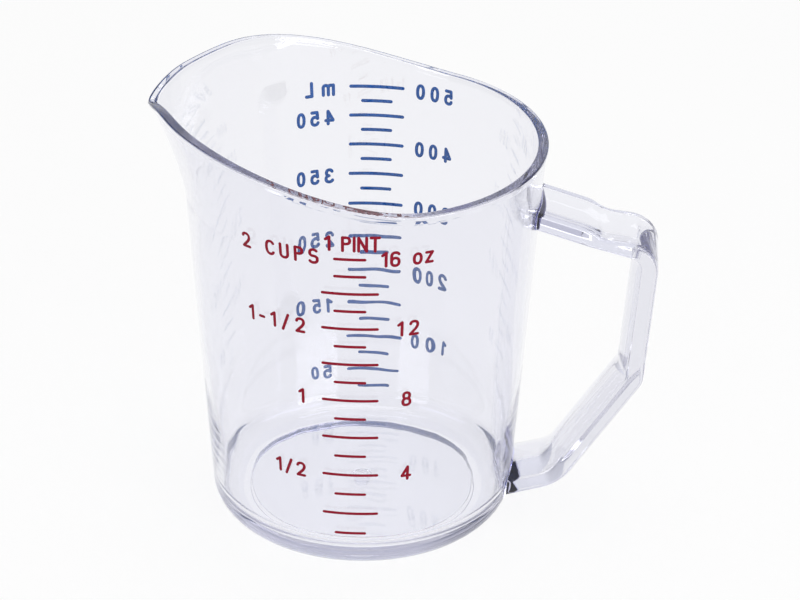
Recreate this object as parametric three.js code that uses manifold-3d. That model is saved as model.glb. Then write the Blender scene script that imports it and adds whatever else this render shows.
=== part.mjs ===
// A one-pint measuring jug in clear plastic, in millimetres.
// The vessel's axis is Z, and the jug stands on the plane z = 0.
// The spout points along -X and the handle along +X. The US scale faces -Y and the metric scale +Y.

import * as THREE from 'three';
import { mergeVertices } from 'three/addons/utils/BufferGeometryUtils.js';
import Module from 'manifold-3d';

const wasm = await Module();
wasm.setup();

// Vessel wall
const baseRadius = 39.94;        // outside of the wall, carried down to the foot plane
const wallTaper = 0.0646;        // radius gained per millimetre of height
const wallThickness = 2.2;
const freeboard = 6.66;          // from the fullest mark up to the level part of the rim, by the handle
const lipFlare = 0.5;            // outward lean of the whole rim, at its edge
const lipWidth = 2.8;            // top face of the rim
const lipThickening = 6;         // the wall thickens inwards over this height
const lipEdgeRadius = 0.35;
const beadHeight = 1;            // a low bead runs round the outside of the rim
const beadStep = 0.4;            // its projection from the wall
const beadBlend = 1.2;           // height over which it blends into the wall

// Vessel base
const footInset = 7;             // the ring that touches the table starts this far inside the wall
const footRingWidth = 2;
const undersideRecess = 3;       // the underside inside that ring is raised by this
const gatePadRadius = 2.2;       // moulding gate pad in the centre, level with the ring
const recessDraft = 0.4;         // sloped side of ring and pad, measured along the radius
const baseCornerHeight = 7.5;    // height of the round corner between foot and wall
const floorThickness = 2.65;
const floorFillet = 5.3;

// Raised side of the rim and pouring spout, with angles in degrees
const rimRise = 11.8;            // the rim climbs by this towards the spout
const riseStart = 63;            // angle from the handle
const riseSpan = 82;
const tipDip = 3.1;              // and drops again by this at the tip
const dipSpan = 25;              // angle on each side of the tip
const sideFlare = 1.5;           // further lean of the raised rim, at its edge
const flareStart = 72;
const flareSpan = 50;
const spoutReach = 6.8;          // further reach of the spout's tip
const spoutSpan = 40;            // angle on each side of the tip
const spoutTipRounding = 2.5;    // angle over which the two sides meet
const spoutDepth = 13;           // the wall starts to lean out this far below the level rim
const spoutLeanPower = 1.2;
const stretchDepth = 34;         // the wall is drawn up to the raised rim from this far below it

// Handle
const handleWidth = 19;
const bandThickness = 5.15;
const bandEdgeRadius = 1.2;
const fingerCrown = 1.9;         // bulge of the finger side over the width
const crownRoot = 1.5;           // depth to which the crown is set into the band
const jointGap = 0.3;            // bond line between handle and wall
const armBelowRim = 14.9;        // top face of the upper arm, at the wall
const armSlope = -0.303;
const thumbStep = 1.5;           // drop of the top face into the thumb rest
const thumbStepStart = 12.7;     // its distance from the wall
const thumbStepLength = 3.7;
const thumbStepRadius = 8;       // rounding where the top face turns down into the step
const thumbRestRadius = 9;       // and where it turns level again
const thumbRestSlope = -0.1;
const underRestSlope = -0.25;    // slope of the finger side below the thumb rest
const handleReach = 31.3;        // outer corner of the handle from the wall
const shoulderRadius = 8.5;
const gripSlope = 0.07;          // the grip leans in by this per millimetre downwards
const elbowHeight = 42.9;        // corner of grip and lower diagonal
const elbowRadius = 5;
const diagonalSlope = 1.574;
const lowerArmHeight = 6.4;      // underside of the lower arm, at the wall
const lowerArmSlope = 0.31;
const heelRadius = 14;
const innerShoulderRadius = 2.6;
const rootOverlap = 5;           // arms are drawn this far into the wall before they are cut to it

// Scale marks
const usScaleAngle = -89;        // degrees from the handle
const metricScaleAngle = 91;
const usLongMark = 14.4;
const usShortMark = 8.2;
const metricLongMark = 15.4;
const metricShortMark = 8.8;
const markHeight = 0.9;
const markRelief = 0.3;
const markEndLength = 0.45;      // tapered end of a mark
const markEndTaper = 0.4;        // height of its tip as a share of the mark's own
const markGap = 0.08;            // clear of the wall's facets
const ounceVolume = 29573.5;     // cubic millimetres in a US fluid ounce
const ounceCount = 16;
const millilitreVolume = 1000;
const millilitreCount = 500;
const millilitresPerMark = 25;

// Fineness of the curved surfaces
const aroundVessel = 96;
const stretchSteps = 8;
const cornerSteps = 6;
const bendSteps = 5;
const edgeSteps = 3;
const markSteps = 4;

const clearPlastic = { color: 0xe9ebf2, roughness: 0.05, metalness: 0, transparent: true, opacity: 0.35 };
const redPrint = { color: 0x8a0d22, roughness: 0.4, metalness: 0 };
const bluePrint = { color: 0x1b4e8f, roughness: 0.4, metalness: 0 };

const degrees = THREE.MathUtils.degToRad;
const clamp01 = (x) => THREE.MathUtils.clamp(x, 0, 1);
const smooth = (x, from, to) => THREE.MathUtils.smoothstep(x, from, to);
const wallRadius = (z) => baseRadius + wallTaper * z;

const footRadius = baseRadius - footInset;
const floorHeight = undersideRecess + floorThickness;
const fullVolume = Math.max(ounceCount * ounceVolume, millilitreCount * millilitreVolume);
const rimHeight = fillHeight(fullVolume) + freeboard;
const spoutRootHeight = rimHeight - spoutDepth;
const stretchStartHeight = rimHeight - stretchDepth;
const armRootHeight = rimHeight - armBelowRim;
const oppositeHandle = 180;

// Mesh helpers

function closed(geometry) {
  const bare = geometry.clone();
  bare.deleteAttribute('normal');
  bare.deleteAttribute('uv');
  return mergeVertices(bare, 1e-4);
}

function solidOf(geometry) {
  const merged = closed(geometry);
  return new wasm.Manifold(new wasm.Mesh({
    numProp: 3,
    vertProperties: new Float32Array(merged.attributes.position.array),
    triVerts: new Uint32Array(merged.index.array),
  }));
}

function geometryOf(solid) {
  const { vertProperties, triVerts } = solid.getMesh();
  const geometry = new THREE.BufferGeometry();
  geometry.setAttribute('position', new THREE.BufferAttribute(vertProperties, 3));
  geometry.setIndex(new THREE.BufferAttribute(triVerts, 1));
  return geometry;
}

function piece(name, geometry, look) {
  const mesh = new THREE.Mesh(geometry, new THREE.MeshStandardMaterial(look));
  mesh.name = name;
  return mesh;
}

// Points along an elliptic arc from one direction to another, both in degrees
function arc(cx, cy, rx, ry, from, to, steps) {
  const points = [];
  for (let i = 0; i <= steps; i += 1) {
    const a = degrees(from + (to - from) * i / steps);
    points.push(new THREE.Vector2(cx + rx * Math.cos(a), cy + ry * Math.sin(a)));
  }
  return points;
}

// Vessel: one moulding with its floor, foot and spout

// Half section of the vessel before the rim is raised, from the axis round the outside to the floor
function vesselProfile() {
  const ringInner = footRadius - footRingWidth;
  const cornerRadius = wallRadius(baseCornerHeight) - footRadius;
  const rimOuter = wallRadius(rimHeight) + beadStep;
  const beadFoot = rimHeight - beadHeight;
  const beadRoot = beadFoot - beadBlend;
  const lipInner = rimOuter - lipWidth + lipEdgeRadius;
  const lipShoulder = rimHeight - lipEdgeRadius;
  const thickFrom = lipShoulder - lipThickening;
  const filletTop = floorHeight + floorFillet;
  const filletCentre = wallRadius(filletTop) - wallThickness - floorFillet;
  const outerWall = [];
  for (let i = 0; i < stretchSteps; i += 1) {
    const z = stretchStartHeight + (thickFrom - stretchStartHeight) * i / stretchSteps;
    outerWall.push(new THREE.Vector2(wallRadius(z), z));
  }
  const innerWall = outerWall.slice().reverse().map((p) => new THREE.Vector2(p.x - wallThickness, p.y));
  return [
    new THREE.Vector2(0, 0),
    new THREE.Vector2(gatePadRadius, 0),
    new THREE.Vector2(gatePadRadius + recessDraft, undersideRecess),
    new THREE.Vector2(ringInner - recessDraft, undersideRecess),
    new THREE.Vector2(ringInner, 0),
    ...arc(footRadius, baseCornerHeight, cornerRadius, baseCornerHeight, -90, 0, cornerSteps),
    ...outerWall,
    new THREE.Vector2(wallRadius(thickFrom), thickFrom),
    new THREE.Vector2(wallRadius(beadRoot), beadRoot),
    new THREE.Vector2(rimOuter, beadFoot),
    ...arc(rimOuter - lipEdgeRadius, lipShoulder, lipEdgeRadius, lipEdgeRadius, 0, 90, cornerSteps),
    ...arc(lipInner, lipShoulder, lipEdgeRadius, lipEdgeRadius, 90, 180, cornerSteps),
    new THREE.Vector2(wallRadius(thickFrom) - wallThickness, thickFrom),
    ...innerWall,
    ...arc(filletCentre, filletTop, floorFillet, floorFillet, 0, -90, cornerSteps),
    new THREE.Vector2(0, floorHeight),
  ];
}

// Height that the rim gains at an angle from the handle, in degrees
function rimLift(angle) {
  const rise = rimRise * smooth(angle, riseStart, riseStart + riseSpan);
  const dip = tipDip * clamp01(1 - (oppositeHandle - angle) / dipSpan) ** 2;
  return rise - dip;
}

// How far the rim's edge leans out at that angle
function rimLean(angle) {
  const fromTip = Math.hypot(oppositeHandle - angle, spoutTipRounding) - spoutTipRounding;
  const spout = clamp01(1 - fromTip / spoutSpan) ** 3;
  return lipFlare + sideFlare * smooth(angle, flareStart, flareStart + flareSpan) + spoutReach * spout;
}

// Outside of the wall at a height and at an angle from the handle
function outsideRadius(z, angle) {
  const leaning = clamp01((z - spoutRootHeight) / (rimHeight + rimLift(angle) - spoutRootHeight));
  return wallRadius(z) + rimLean(angle) * leaning ** spoutLeanPower;
}

function vesselGeometry() {
  const geometry = new THREE.LatheGeometry(vesselProfile(), aroundVessel);
  geometry.rotateX(Math.PI / 2);
  const positions = geometry.attributes.position;
  const point = new THREE.Vector3();
  const drawnHeight = stretchDepth - beadHeight - beadBlend;
  for (let i = 0; i < positions.count; i += 1) {
    point.fromBufferAttribute(positions, i);
    const turn = Math.atan2(point.y, point.x);
    const angle = Math.abs(THREE.MathUtils.radToDeg(turn));
    const inset = wallRadius(point.z) - Math.hypot(point.x, point.y);
    const drawn = clamp01((point.z - stretchStartHeight) / drawnHeight);
    const z = point.z + rimLift(angle) * drawn;
    if (drawn > 0) {
      const radius = outsideRadius(z, angle) - inset;
      positions.setXYZ(i, radius * Math.cos(turn), radius * Math.sin(turn), z);
    }
  }
  return geometryOf(solidOf(geometry));
}

// Handle: a second moulding, bent from one broad band and bonded to the wall at both ends

// Where two lines z = height + slope (x - run) cross
function crossing(a, b) {
  const x = (b.height - a.height + a.slope * a.run - b.slope * b.run) / (a.slope - b.slope);
  return new THREE.Vector2(x, a.height + a.slope * (x - a.run));
}

// The same line moved sideways, up where the distance is positive
function shifted(line, distance) {
  return { ...line, height: line.height + distance * Math.hypot(1, line.slope) };
}

function handleLines() {
  const armRun = wallRadius(armRootHeight);
  const cornerRun = armRun + handleReach;
  const stepStart = armRun + thumbStepStart;
  const stepEnd = stepStart + thumbStepLength;
  const arm = { run: armRun, height: armRootHeight, slope: armSlope };
  const stepTop = armRootHeight + armSlope * thumbStepStart;
  const restHeight = stepTop + armSlope * thumbStepLength - thumbStep;
  const rest = { run: stepEnd, height: restHeight, slope: thumbRestSlope };
  const cornerHeight = restHeight + thumbRestSlope * (cornerRun - stepEnd);
  const leg = { run: cornerRun, height: cornerHeight, slope: 1 / gripSlope };
  const elbowRun = cornerRun + gripSlope * (elbowHeight - cornerHeight);
  const diagonal = { run: elbowRun, height: elbowHeight, slope: diagonalSlope };
  const lower = { run: wallRadius(lowerArmHeight), height: lowerArmHeight, slope: lowerArmSlope };
  return { arm, rest, leg, diagonal, lower, stepStart, stepTop };
}

// A path through corners, each rounded by its own radius, as a polyline
function rounded(corners) {
  const points = [];
  corners.forEach(({ at, radius }, i) => {
    if (!radius) {
      points.push(at);
      return;
    }
    const before = corners[i - 1].at.clone().sub(at).normalize();
    const after = corners[i + 1].at.clone().sub(at).normalize();
    const half = before.angleTo(after) / 2;
    const reach = radius / Math.tan(half);
    const middle = before.clone().add(after).normalize();
    const centre = at.clone().addScaledVector(middle, radius / Math.sin(half));
    const start = at.clone().addScaledVector(before, reach).sub(centre);
    const end = at.clone().addScaledVector(after, reach).sub(centre);
    let sweep = end.angle() - start.angle();
    sweep -= 2 * Math.PI * Math.round(sweep / (2 * Math.PI));
    for (let k = 0; k <= bendSteps; k += 1) {
      const a = start.angle() + sweep * k / bendSteps;
      points.push(new THREE.Vector2(centre.x + radius * Math.cos(a), centre.y + radius * Math.sin(a)));
    }
  });
  return points;
}

// The point where a line that starts at the wall has run on into it
function rootOf(line) {
  return new THREE.Vector2(line.run - rootOverlap, line.height - line.slope * rootOverlap);
}

// The outer face, from the upper root to the lower one, in the plane of x and z
function outerEdge() {
  const { arm, rest, leg, diagonal, lower, stepStart, stepTop } = handleLines();
  return rounded([
    { at: rootOf(arm) },
    { at: new THREE.Vector2(stepStart, stepTop), radius: thumbStepRadius },
    { at: new THREE.Vector2(rest.run, rest.height), radius: thumbRestRadius },
    { at: crossing(rest, leg), radius: shoulderRadius },
    { at: crossing(leg, diagonal), radius: elbowRadius },
    { at: crossing(diagonal, lower), radius: heelRadius },
    { at: rootOf(lower) },
  ]);
}

// The finger side, in the same direction
function innerEdge() {
  const { arm, leg, diagonal, lower, stepStart } = handleLines();
  const under = shifted(arm, -bandThickness);
  const legInner = shifted(leg, bandThickness);
  const diagonalInner = shifted(diagonal, bandThickness);
  const lowerTop = shifted(lower, bandThickness);
  const underRest = {
    run: stepStart,
    height: under.height + under.slope * (stepStart - under.run),
    slope: underRestSlope,
  };
  return rounded([
    { at: rootOf(under) },
    { at: new THREE.Vector2(underRest.run, underRest.height), radius: shoulderRadius },
    { at: crossing(underRest, legInner), radius: innerShoulderRadius },
    { at: crossing(legInner, diagonalInner), radius: elbowRadius },
    { at: crossing(diagonalInner, lowerTop), radius: heelRadius - bandThickness },
    { at: rootOf(lowerTop) },
  ]);
}

function handleGeometry() {
  const outline = new THREE.Shape([...outerEdge(), ...innerEdge().reverse()]);
  const band = new THREE.ExtrudeGeometry(outline, {
    depth: handleWidth - 2 * bandEdgeRadius,
    bevelThickness: bandEdgeRadius,
    bevelSize: bandEdgeRadius,
    bevelOffset: -bandEdgeRadius,
    bevelSegments: edgeSteps,
  });
  band.translate(0, 0, -handleWidth / 2 + bandEdgeRadius);
  band.rotateX(Math.PI / 2);

  // The crown is a low arch, as wide as the flat of the finger side, swept along it
  const halfWidth = handleWidth / 2 - bandEdgeRadius;
  const archRadius = (halfWidth ** 2 + fingerCrown ** 2) / (2 * fingerCrown);
  const archHalf = THREE.MathUtils.radToDeg(Math.asin(halfWidth / archRadius));
  const archCentre = fingerCrown - archRadius;
  const section = new THREE.Shape([
    ...arc(0, archCentre, archRadius, archRadius, 90 - archHalf, 90 + archHalf, 2 * bendSteps),
    new THREE.Vector2(-halfWidth, -crownRoot),
    new THREE.Vector2(halfWidth, -crownRoot),
  ]);
  const rail = new THREE.CurvePath();
  const stations = innerEdge().map((p) => new THREE.Vector3(p.x, 0, p.y));
  stations.slice(1).forEach((p, i) => rail.add(new THREE.LineCurve3(stations[i], p)));
  rail.getPointAt = (t) => stations[Math.round(t * (stations.length - 1))].clone();
  rail.getTangentAt = (t) => {
    const i = Math.round(t * (stations.length - 1));
    const before = stations[Math.max(i - 1, 0)];
    const after = stations[Math.min(i + 1, stations.length - 1)];
    return after.clone().sub(before).normalize();
  };
  const crown = new THREE.ExtrudeGeometry(section, { steps: stations.length - 1, extrudePath: rail });

  const rootTop = armRootHeight + bandThickness;
  const wallCut = new THREE.LatheGeometry([
    new THREE.Vector2(0, -bandThickness),
    new THREE.Vector2(wallRadius(-bandThickness) + jointGap, -bandThickness),
    new THREE.Vector2(wallRadius(rootTop) + jointGap, rootTop),
    new THREE.Vector2(0, rootTop),
  ], aroundVessel);
  wallCut.rotateX(Math.PI / 2);
  return geometryOf(solidOf(band).add(solidOf(crown)).subtract(solidOf(wallCut)));
}

// Scale marks: raised printed bars that follow the tapered wall

// Height at which the vessel holds a volume in cubic millimetres. The inside is a frustum of a cone
// less the fillet round its floor, whose section is a square corner without its quarter circle.
function fillHeight(volume) {
  const floorRadius = wallRadius(floorHeight) - wallThickness;
  const filletSection = (1 - Math.PI / 4) * floorFillet ** 2;
  const filletVolume = 2 * Math.PI * (floorRadius - 0.223 * floorFillet) * filletSection;
  const frustum = volume + filletVolume;
  const levelRadius = Math.cbrt(3 * wallTaper * frustum / Math.PI + floorRadius ** 3);
  return floorHeight + (levelRadius - floorRadius) / wallTaper;
}

// A bar with tapered ends, bent round the wall
function markGeometry(length, height, scaleAngle) {
  const columns = markSteps + 2;  // one more at each end for the taper
  const geometry = new THREE.BoxGeometry(length, markHeight, markRelief, columns, 1, 1);
  const straight = length / 2 - markEndLength;
  const positions = geometry.attributes.position;
  const point = new THREE.Vector3();
  for (let i = 0; i < positions.count; i += 1) {
    point.fromBufferAttribute(positions, i);
    const column = Math.round((point.x / length + 0.5) * columns);
    const isEnd = column === 0 || column === columns;
    const along = isEnd ? point.x : straight * (2 * (column - 1) / markSteps - 1);
    const z = height + point.y * (isEnd ? markEndTaper : 1);
    const turn = degrees(scaleAngle) + along / wallRadius(height);
    const angle = Math.abs(THREE.MathUtils.radToDeg(turn));
    const radius = outsideRadius(z, angle) + markGap + markRelief / 2 + point.z;
    positions.setXYZ(i, radius * Math.cos(turn), radius * Math.sin(turn), z);
  }
  return closed(geometry);
}

// One scale: its marks are numbered by the volume that they stand for
function scaleMarks(scale) {
  const marks = [];
  for (let amount = scale.step; amount <= scale.last; amount += scale.step) {
    const height = fillHeight(amount * scale.unit);
    const length = scale.isLong(amount) ? scale.longMark : scale.shortMark;
    const name = `${scale.name}_${String(amount).padStart(scale.digits, '0')}`;
    marks.push(piece(name, markGeometry(length, height, scale.angle), scale.look));
  }
  return marks;
}

const usScale = {
  name: 'mark_oz',
  unit: ounceVolume,
  step: 1,
  last: ounceCount,
  digits: 2,
  angle: usScaleAngle,
  longMark: usLongMark,
  shortMark: usShortMark,
  look: redPrint,
  isLong: (amount) => amount % 2 === 0 && amount < ounceCount,
};

const metricScale = {
  name: 'mark_ml',
  unit: millilitreVolume,
  step: millilitresPerMark,
  last: millilitreCount,
  digits: 3,
  angle: metricScaleAngle,
  longMark: metricLongMark,
  shortMark: metricShortMark,
  look: bluePrint,
  isLong: (amount) => amount % (2 * millilitresPerMark) === 0,
};

const jug = new THREE.Group();
jug.add(piece('vessel', vesselGeometry(), clearPlastic));
jug.add(piece('handle', handleGeometry(), clearPlastic));
jug.add(...scaleMarks(usScale));
jug.add(...scaleMarks(metricScale));

export default jug;
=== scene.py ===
# %% [markdown]
# # A measuring jug in clear plastic
#
# The jug is two mouldings of clear plastic, a vessel and a handle, bonded together, with two printed
# scales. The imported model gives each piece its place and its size. This script gives each piece its fine
# surface and its finish, and sets up the table, the light and the camera.
#
# Shapes are written in millimetres, as the jug's maker would, and become metres when a mesh is made.

import bpy
import numpy as np
from mathutils import Matrix, Vector


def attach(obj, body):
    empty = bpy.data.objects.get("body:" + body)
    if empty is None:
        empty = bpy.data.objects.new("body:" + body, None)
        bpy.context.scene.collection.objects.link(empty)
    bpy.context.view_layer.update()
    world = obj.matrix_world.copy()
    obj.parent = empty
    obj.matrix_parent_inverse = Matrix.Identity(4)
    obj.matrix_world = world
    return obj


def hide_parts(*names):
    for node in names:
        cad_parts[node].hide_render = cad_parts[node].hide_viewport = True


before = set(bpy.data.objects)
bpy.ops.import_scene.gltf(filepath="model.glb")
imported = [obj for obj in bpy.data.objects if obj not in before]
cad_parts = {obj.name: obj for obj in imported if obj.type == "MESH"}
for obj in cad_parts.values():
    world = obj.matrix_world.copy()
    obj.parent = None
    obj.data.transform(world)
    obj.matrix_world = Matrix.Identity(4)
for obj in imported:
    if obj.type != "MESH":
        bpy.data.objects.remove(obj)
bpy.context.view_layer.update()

MM = 0.001
scene = bpy.context.scene

# %% [markdown]
# ## One helper for every surface
#
# Every new piece here is a tube of some sort: the vessel is a tube bent back into itself, the handle is a
# band carried along a path, and each stroke of ink is a very low tube. So one function is enough. It
# takes rings of points and joins each ring to the next with quads. A tube's ends close with a fan of
# triangles to one point, its pole, or the last ring joins the first. The other way would be Blender's own
# primitives and modifiers, but a formula for whole rings keeps every size a named value.
#
# Faces have to point outwards. The signed volume of the body says whether they do: it is the sum, over
# its triangles, of the box product of their corners, and a negative sum means that the tube is inside
# out.

# %% Rings to a closed body
def signed_volume(points, faces):
    """Six times the volume: over each face's fan of triangles, a dot (b cross c) is summed."""
    corners = points[faces]
    total = 0.0
    for k in range(1, faces.shape[1] - 1):
        a, b, c = corners[:, 0], corners[:, k], corners[:, k + 1]
        total += np.einsum("ij,ij->", a, np.cross(b, c))
    return total


def closed_body(rings, start=None, end=None):
    """Points and faces of rings (ring, around, xyz). Start and end are the poles, or both are None."""
    count, around = rings.shape[:2]
    points = rings.reshape(-1, 3)
    index = np.arange(count * around).reshape(count, around)
    if start is None:
        index = np.vstack([index, index[:1]])
    beside = np.roll(index, -1, axis=1)
    quads = np.stack([index[:-1], beside[:-1], beside[1:], index[1:]], axis=-1).reshape(-1, 4)
    faces = [quads]
    if start is not None:
        points = np.vstack([points, start, end])
        first_pole, last_pole = np.full((2, around), [[count * around], [count * around + 1]])
        faces.append(np.stack([beside[0], index[0], first_pole], axis=-1))
        faces.append(np.stack([index[-1], beside[-1], last_pole], axis=-1))
    if sum(signed_volume(points, kind) for kind in faces) < 0:
        faces = [kind[:, ::-1] for kind in faces]
    return points, faces


def make_piece(name, bodies, material, replaced):
    """One object from closed bodies in millimetres. It rides on the jug and stands for CAD nodes, if any."""
    points = []
    faces = []
    count = 0
    for body_points, body_faces in bodies:
        points.append(body_points)
        faces += [(kind + count).tolist() for kind in body_faces]
        count += len(body_points)
    mesh = bpy.data.meshes.new(name)
    mesh.from_pydata((np.vstack(points) * MM).tolist(), [], [face for kind in faces for face in kind])
    mesh.shade_smooth()
    mesh.materials.append(material)
    made = bpy.data.objects.new(name, mesh)
    scene.collection.objects.link(made)
    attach(made, "root")
    if replaced:
        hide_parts(*replaced)
    return made


# %% [markdown]
# ## Paths with round corners
#
# A section of a moulding is a path of straight stretches whose corners are rounded. Each corner is given
# as a point and a radius, as on a drawing. The arc's centre lies on the line that halves the corner.

# %% Rounded paths
ARC_STEPS = 9


def rounded_path(corners):
    """Straight and round stretches in turn through corners (x, y, radius). The first and last stay sharp.

    A corner's arc has its centre on the bisector, at radius / sin(half the angle) from the corner. It
    touches the straights at radius / tan(half the angle)."""
    places = np.array([corner[:2] for corner in corners], float)
    stretches = []
    here = places[0]
    for k, (x, y, radius) in enumerate(corners[1:-1], start=1):
        back = places[k - 1] - places[k]
        on = places[k + 1] - places[k]
        back /= np.linalg.norm(back)
        on /= np.linalg.norm(on)
        half = np.arccos(np.clip(back @ on, -1, 1)) / 2
        middle = (back + on) / np.linalg.norm(back + on)
        centre = places[k] + middle * radius / np.sin(half)
        first = places[k] + back * radius / np.tan(half) - centre
        last = places[k] + on * radius / np.tan(half) - centre
        start = np.arctan2(first[1], first[0])
        sweep = (np.arctan2(last[1], last[0]) - start + np.pi) % (2 * np.pi) - np.pi
        turn = start + sweep * np.linspace(0, 1, ARC_STEPS + 1)
        bend = centre + radius * np.column_stack([np.cos(turn), np.sin(turn)])
        stretches += [np.array([here, bend[0]]), bend]
        here = bend[-1]
    return stretches + [np.array([here, places[-1]])]


def joined(stretches):
    """Stretches as one path, with each shared point once."""
    return np.vstack([stretches[0]] + [stretch[1:] for stretch in stretches[1:]])


def spaced(path, count):
    """The same path with its points at equal distances along it."""
    along = np.concatenate([[0], np.cumsum(np.hypot(*np.diff(path, axis=0).T))])
    wanted = np.linspace(0, along[-1], count)
    return np.column_stack([np.interp(wanted, along, path[:, k]) for k in range(2)])


# %% [markdown]
# ## The wall and what it holds
#
# The vessel is a cone whose rim rises towards a pouring spout. Three short functions say all of that: the
# plain wall's radius at a height, how far the rim has climbed at an angle from the handle, and how far it
# leans out.
#
# The height of each mark comes from the volume that it stands for. Up to a level, the vessel holds a
# frustum of a cone, and a frustum's volume grows with the cube of its upper radius, so a cube root gives
# the level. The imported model's even wall is used for that, so that each mark lies where its solid does.
#
# The wall that is seen is not even: it thins from the floor to its waist and thickens again to the rim.
# Through such a wedge, what lies behind seems to lie a little lower, as in the photograph.

# %% Sizes of the vessel, in millimetres
BASE_RADIUS = 39.94
WALL_TAPER = 0.0646
WALL_THICKNESS = 2.2
FREEBOARD = 6.66
WALL_AT_FLOOR = 2.0
WALL_AT_WAIST = 1.5
WALL_AT_RIM = 2.4
THINNING_START = 10
THINNING_SPAN = 28
THICKENING_START = 38
THICKENING_SPAN = 62
LIP_EDGE_RADIUS = 0.5
LIP_INNER_RADIUS = 0.6
BEAD_HEIGHT = 1
BEAD_STEP = 0.3
BEAD_BLEND = 1.2
BEAD_ROOT_RADIUS = 1.5
BEAD_EDGE_RADIUS = 0.25

FOOT_INSET = 7
FOOT_RING_WIDTH = 2
UNDERSIDE_RECESS = 3
GATE_PAD_RADIUS = 2.2
RECESS_DRAFT = 0.4
RECESS_EDGE_RADIUS = 0.15
BASE_CORNER_RADIUS = 7.45
FLOOR_THICKNESS = 2.65
FLOOR_FILLET = 5.3
FILLET_MIDDLE = 0.223

RIM_RISE = 11
RISE_START = 62
RISE_SPAN = 80.7
TIP_DIP = 3.56
DIP_SPAN = 19.3
SIDE_FLARE = 2.63
FLARE_START = 80.4
FLARE_SPAN = 60.8
SPOUT_REACH = 5.5
SPOUT_SPAN = 47.6
SPOUT_TIP_ROUNDING = 2.5
SPOUT_DEPTH = 13
SPOUT_LEAN_POWER = 1.2
STRETCH_DEPTH = 34

OUNCE = 29573.5
MILLILITRE = 1000
OUNCES = 16
MILLILITRES = 500


# %% The wall's formulas
def smooth(x, start, span):
    """From 0 to 1 over the span, as 3 t squared less 2 t cubed, with t the share of the span."""
    t = np.clip((x - start) / span, 0, 1)
    return t * t * (3 - 2 * t)


def wall_radius(z):
    """Outside of the plain wall: the base radius and the taper times the height."""
    return BASE_RADIUS + WALL_TAPER * z


def fill_height(volume):
    """Level of a volume: the frustum's upper radius is the cube root of 3 taper V / pi + floor radius cubed.

    V is the wanted volume and that of the fillet round the floor: a corner of (1 - pi / 4) radius squared,
    whose middle lies 0.223 of the radius off the wall."""
    floor_radius = wall_radius(FLOOR_TOP) - WALL_THICKNESS
    fillet = 2 * np.pi * (floor_radius - FILLET_MIDDLE * FLOOR_FILLET) * (1 - np.pi / 4) * FLOOR_FILLET**2
    level_radius = np.cbrt(3 * WALL_TAPER * (volume + fillet) / np.pi + floor_radius**3)
    return FLOOR_TOP + (level_radius - floor_radius) / WALL_TAPER


FLOOR_TOP = UNDERSIDE_RECESS + FLOOR_THICKNESS
RIM_HEIGHT = fill_height(max(OUNCES * OUNCE, MILLILITRES * MILLILITRE)) + FREEBOARD
SPOUT_ROOT = RIM_HEIGHT - SPOUT_DEPTH
STRETCH_START = RIM_HEIGHT - STRETCH_DEPTH


def rim_lift(angle):
    """Climb of the rim at degrees from the handle: a smooth rise, less a dip that peaks at the tip."""
    near_tip = np.clip(1 - (180 - angle) / DIP_SPAN, 0, 1)
    return RIM_RISE * smooth(angle, RISE_START, RISE_SPAN) - TIP_DIP * near_tip**2


def rim_lean(angle):
    """Outward lean of the rim's edge: none by the handle, some on the raised side, most at the spout."""
    from_tip = np.hypot(180 - angle, SPOUT_TIP_ROUNDING) - SPOUT_TIP_ROUNDING
    spout = np.clip(1 - from_tip / SPOUT_SPAN, 0, 1) ** 3
    return SIDE_FLARE * smooth(angle, FLARE_START, FLARE_SPAN) + SPOUT_REACH * spout


def outside_radius(z, angle):
    """Outside of the wall: the cone, and the rim's lean times a power of the share of the way up to it."""
    way_up = (z - SPOUT_ROOT) / (RIM_HEIGHT + rim_lift(angle) - SPOUT_ROOT)
    return wall_radius(z) + rim_lean(angle) * np.clip(way_up, 0, 1) ** SPOUT_LEAN_POWER


print("rim at the handle, mm:", round(RIM_HEIGHT, 2), " full mark, mm:", round(RIM_HEIGHT - FREEBOARD, 2))

# %% [markdown]
# ## The vessel's surface
#
# The section runs from the centre of the underside, round the foot, up the outside, round the low bead
# that stiffens the rim, over the lip, down the inside and across the floor to the axis again. Turned
# about the axis it would be a plain beaker. The raised rim and the spout come from moving every point of
# that beaker by the formulas above: up by its share of the rim's climb, and out to where the wall leans.
# Inside and outside move together, so the spout's wall is as thick as the rest at that height.
#
# Clear plastic shows every change of its thickness, because what lies behind bends with it. A moulded
# wall has shallow waves from the way the plastic flows and shrinks, so the inside gets waves a hundredth
# or two of a millimetre deep. They are too shallow to see as a shape, and just right to make a mark
# behind them wander.

# %% Section of the vessel
AROUND_VESSEL = 360
ROW_STEP = 3
NEAR_BEND = 0.12
STEEP = 0.9
LONG = 50
BOND_HEIGHTS = [(6, 14), (82, 92)]
BOND_ROW_STEP = 0.4


def with_rows(stretch):
    """A straight stretch cut into rows, with one row close to each end to keep the shading of bends off it.

    The outside is long and steep, and has narrow rows where the handle is bonded to it."""
    if len(stretch) > 2:
        return stretch
    length = np.hypot(*(stretch[1] - stretch[0]))
    if length < 4 * NEAR_BEND:
        return stretch
    rows = np.linspace(NEAR_BEND, length - NEAR_BEND, int(length / ROW_STEP) + 2)
    rise = (stretch[1, 1] - stretch[0, 1]) / length
    if rise > STEEP and length > LONG:
        bonds = np.concatenate([np.arange(low, high, BOND_ROW_STEP) for low, high in BOND_HEIGHTS])
        fine = (bonds - stretch[0, 1]) / rise
        rows = np.union1d(rows, fine[(fine > NEAR_BEND) & (fine < length - NEAR_BEND)])
    share = np.concatenate([[0], rows, [length]]) / length
    return stretch[0] + share[:, None] * (stretch[1] - stretch[0])


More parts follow.
